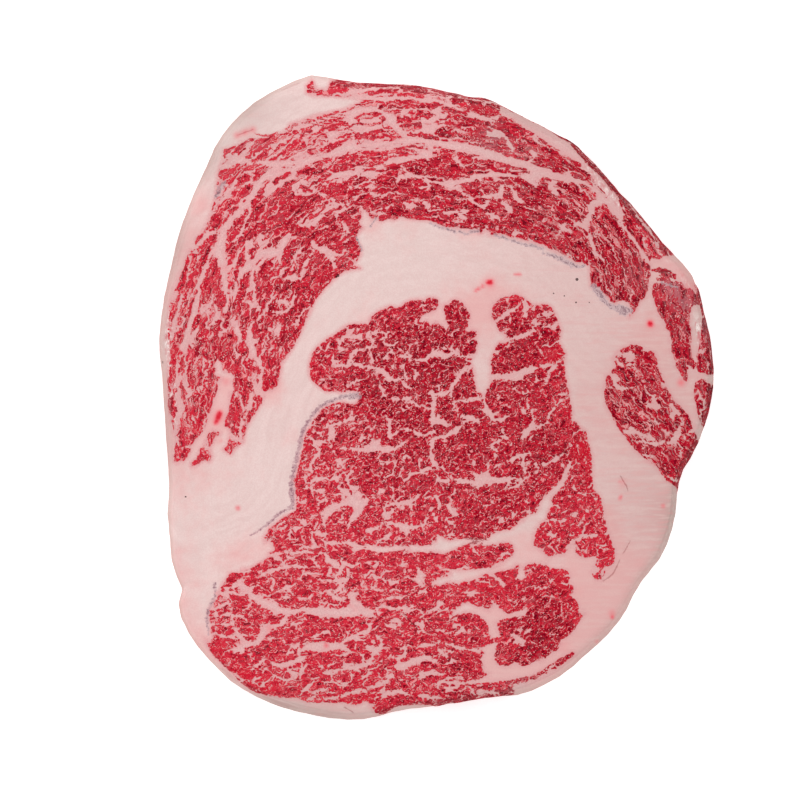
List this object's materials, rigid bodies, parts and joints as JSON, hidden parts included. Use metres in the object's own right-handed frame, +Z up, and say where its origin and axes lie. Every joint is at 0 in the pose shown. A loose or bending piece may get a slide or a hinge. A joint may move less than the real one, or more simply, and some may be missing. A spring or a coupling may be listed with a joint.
{
  "type": "raw beef steak",
  "caption": "Thick slice of raw marbled rib-eye beef, lying flat: round eye muscle in a broad fat collar, wrapped by the rib cap, with a soft rounded fat edge.",
  "frame": {"origin": "middle of the slice's bounding box, on the flat lower cut face that it rests on", "axes": "+Z up out of the upper cut face, +Y towards the corner of back fat at the top of the slice, +X towards the rib side"},
  "size_m": [0.172, 0.2, 0.0216],
  "materials": {
    "marbled_beef": "moist, satin: crimson lean with pale pink fat"
  },
  "bodies": {
    "root": {"steak": "marbled_beef"}
  },
  "joints": []
}
